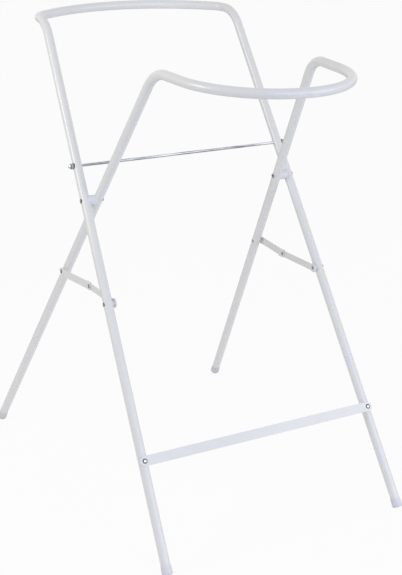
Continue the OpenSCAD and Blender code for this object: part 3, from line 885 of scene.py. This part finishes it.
def stand_on_floor(mesh):
    """Cuts off what is below the floor and fills the flat."""
    everything = mesh.verts[:] + mesh.edges[:] + mesh.faces[:]
    cut = bmesh.ops.bisect_plane(mesh, geom=everything, dist=WELD_MM, plane_co=(0, 0, 0),
                                 plane_no=(0, 0, 1), clear_inner=True)["geom_cut"]
    rim = [g for g in cut if isinstance(g, bmesh.types.BMEdge)]
    bmesh.ops.holes_fill(mesh, edges=rim, sides=0)


for frame_name, bent in (("outer", outer), ("inner", inner)):
    for name, side in SIDES.items():
        mesh = foot_cap()
        to_stand = bent.axes @ axes_at(bent.foot(), bent.leg_way, bent.inwards())
        if to_stand.translation.x * side < 0:
            to_stand = flipped(-1) @ to_stand
        mesh.transform(to_stand)
        stand_on_floor(mesh)
        node = f"{frame_name}_foot_cap_{name}"
        add_piece(f"{node}.moulded", mesh, f"{frame_name}_frame", node, white_plastic)
    print(frame_name, "caps stand at", rounded(to_stand.translation))

# %% [markdown]
# ## Pivot spacers
#
# Between the two frames sits a thick plastic bush. Its ends are hollowed to nestle against the round
# tubes, so from outside no gap shows. Hollows that fit both tubes would lock the fold, and here the
# bush simply runs on inside the tubes' outline, where a turned shape can swing without touching
# anything new.

# %% The pivot spacers
SPACER_R, SPACER_EDGE, SPACER_END_R, SPACER_SEAT = 9.5, 0.3, 8.3, 3
OUTER_FACE, INNER_FACE = OUTER_HALF - TUBE_R, INNER_HALF + TUBE_R
for name, side in SIDES.items():
    pen = Outline(OUTER_HALF - SPACER_SEAT)
    pen.lines((SPACER_END_R, OUTER_HALF - SPACER_SEAT),
              (SPACER_R - SPACER_EDGE, OUTER_FACE + 1.2),
              (SPACER_R, OUTER_FACE + 0.6),
              (SPACER_R, INNER_FACE - 0.6),
              (SPACER_R - SPACER_EDGE, INNER_FACE - 1.2),
              (SPACER_END_R, INNER_HALF + SPACER_SEAT),
              (0, INNER_HALF + SPACER_SEAT))
    mesh = pen.turn(sides=48)
    mesh.transform(flipped(side) @ crosswise((0, pivot.y, pivot.z)))
    node = f"pivot_spacer_{name}"
    add_piece(f"{node}.moulded", mesh, "inner_frame", node, white_plastic)
print("spacers between", round(INNER_FACE, 1), "and", OUTER_FACE, "mm")

# %% [markdown]
# ## Strap and links
#
# These solids already have the right shape, but their edges are knife sharp, and a sharp edge catches
# no light. Real sheet is deburred and then coated, which rounds it. A Bevel modifier on the solid
# itself would also bevel the seams between its triangles. So a copy of each solid is welded, its flat
# faces are made whole again, and its edges are bevelled by a fraction of a millimetre.

# %% The softened copies
SAME_FACE, REAL_EDGE = math.radians(2), math.radians(40)


def add_softened(node, body, radius):
    mesh = bmesh.new()
    mesh.from_mesh(solids[node].data)
    mesh.transform(Matrix.Scale(1000, 4))
    bmesh.ops.remove_doubles(mesh, verts=mesh.verts, dist=1e-3)
    bmesh.ops.dissolve_limit(mesh, angle_limit=SAME_FACE, verts=mesh.verts, edges=mesh.edges)
    edges = [e for e in mesh.edges if e.is_manifold and e.calc_face_angle(0) > REAL_EDGE]
    bmesh.ops.bevel(mesh, geom=edges, offset=radius, offset_type="OFFSET", affect="EDGES",
                    segments=2, profile=0.5, material=-1, clamp_overlap=True)
    add_piece(f"{node}.deburred", mesh, body, node, powder_coat)


add_softened("cross_strap", "outer_frame", 0.45)
for name in SIDES:
    add_softened(f"front_link_{name}", f"{name}_front_link", 0.4)
    add_softened(f"rear_link_{name}", f"{name}_rear_link", 0.3)

# %% [markdown]
# ## Washers and small spacers
#
# The washers at the rear stays and the spacers at the front ones are small plain rings, nearly hidden
# between a leg and a link. They could be turned anew, but nothing would be seen of it, so the solids
# stay and only get the plastic.

# %% Finish the small rings
for name in SIDES:
    for kind in ("rear_stay_washer", "front_stay_spacer"):
        solids[f"{kind}_{name}"].data.materials[0] = white_plastic.material

# %% [markdown]
# ## The floor
#
# The photograph has a bare white ground and hardly a shadow. A bright lamp on the floor would give
# that, but it would wash out the stand as well. Instead a large pale disc runs up to the horizon, and
# to the camera alone it is mostly a plain white sheet. The rest is real floor, which keeps a faint
# shadow under the feet, and what it throws up on the tubes comes from its true colour.

# %% The floor
FLOOR_R = 30
SHEET_SHARE = 0.93
WHITE = (1, 1, 1, 1)

mesh = bmesh.new()
bmesh.ops.create_circle(mesh, cap_ends=True, segments=64, radius=FLOOR_R)
data = bpy.data.meshes.new("floor")
mesh.to_mesh(data)
mesh.free()
floor = bpy.data.objects.new("floor", data)
bpy.context.scene.collection.objects.link(floor)
floor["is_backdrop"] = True

pale_floor = Finish("pale_floor", Base_Color=shade(232, 232, 233), Roughness=0.9)
seen = pale_floor.node("ShaderNodeLightPath", out="Is Camera Ray")
sheet = pale_floor.node("ShaderNodeEmission", None, {"Color": WHITE, "Strength": 1.0})
ground = pale_floor.ready_made("Principled BSDF")
pale_floor.show(pale_floor.node("ShaderNodeMixShader", None,
                                {0: seen * SHEET_SHARE, 1: ground, 2: sheet}), "Material Output")
data.materials.append(pale_floor.material)
print("floor:", 2 * FLOOR_R, "metres across")

# %% [markdown]
# ## The surround
#
# The world is the white room round the stand. It lights the shaded sides of the tubes weakly and a
# little warmly. A stronger one would make the background white, but it would flatten the tubes, so
# only what the camera sees and what bright metal mirrors is white at full strength.

# %% The surround
SURROUND_COLOUR, SURROUND_STRENGTH = (1, 0.995, 0.98, 1), 0.54

world = bpy.data.worlds.new("studio")
bpy.context.scene.world = world
world.use_nodes = True
room = Recipe(world.node_tree)
surround = room.ready_made("Background", {"Color": SURROUND_COLOUR, "Strength": SURROUND_STRENGTH})
backdrop = room.node("ShaderNodeBackground", None, {"Color": WHITE, "Strength": 1.0})
straight = room.node("ShaderNodeLightPath", out="Is Camera Ray")
mirrored = room.node("ShaderNodeLightPath", out="Is Glossy Ray")
either = room.node("ShaderNodeMath", {"operation": "MAXIMUM"}, {0: straight, 1: mirrored})
room.show(room.node("ShaderNodeMixShader", None, {0: either, 1: surround, 2: backdrop}),
          "World Output")
print("surround:", len(room.tree.nodes), "nodes")

# %% [markdown]
# ## The lamps
#
# Each tube in the photograph is brightest along its front, greyer on its right, and has a thin bright
# left edge high on the left leg. So there are two large cool softboxes, one from the right and one
# from the front, and a small warm window close on the left. A weak warm disc just above the floor
# stands for the light that the ground bounces up under the hoops. Their strengths were found one lamp
# at a time: light adds up, so a render of each alone shows how much of it the photograph has.

# %% The lamps
STAND_MIDDLE = (0, 0, 0.5)


def add_lamp(name, place, size, watts, colour, aim=STAND_MIDDLE):
    data = bpy.data.lights.new(name, "AREA")
    data.shape = "DISK"
    data.size, data.energy, data.color = size, watts, colour
    lamp = bpy.data.objects.new(name, data)
    lamp.location = place
    lamp.rotation_mode = "QUATERNION"
    lamp.rotation_quaternion = (Vector(aim) - Vector(place)).to_track_quat("-Z", "Y")
    lamp.visible_camera = False
    bpy.context.scene.collection.objects.link(lamp)
    print(name, "gives", watts, "W from", rounded(place), "m")


add_lamp("right_softbox", (2.2, -2.4, 1.2), size=2.0, watts=18, colour=(0.94, 0.98, 1.0))
add_lamp("front_softbox", (0.3, -3.0, 1.5), size=2.0, watts=21.5, colour=(0.64, 0.73, 1.0))
add_lamp("left_window", (-1.5, 0.1, 1.3), size=0.7, watts=7.4, colour=(1.0, 0.99, 0.93),
         aim=(-0.2, 0, 0.85))
add_lamp("low_bounce", (0, 0.15, 0.02), size=1.6, watts=1.0, colour=(1.0, 0.96, 0.84),
         aim=(0, 0.15, 1.0))
bpy.context.scene.view_settings.view_transform = "Standard"

# %% [markdown]
# ## The dressed size
#
# The dressed stand must stay the size of the solids. Its box is printed, as the solids' was at the
# start.

# %% Print the dressed size
dressed_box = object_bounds()
print("dressed box:", [rounded(corner, 4) for corner in dressed_box])
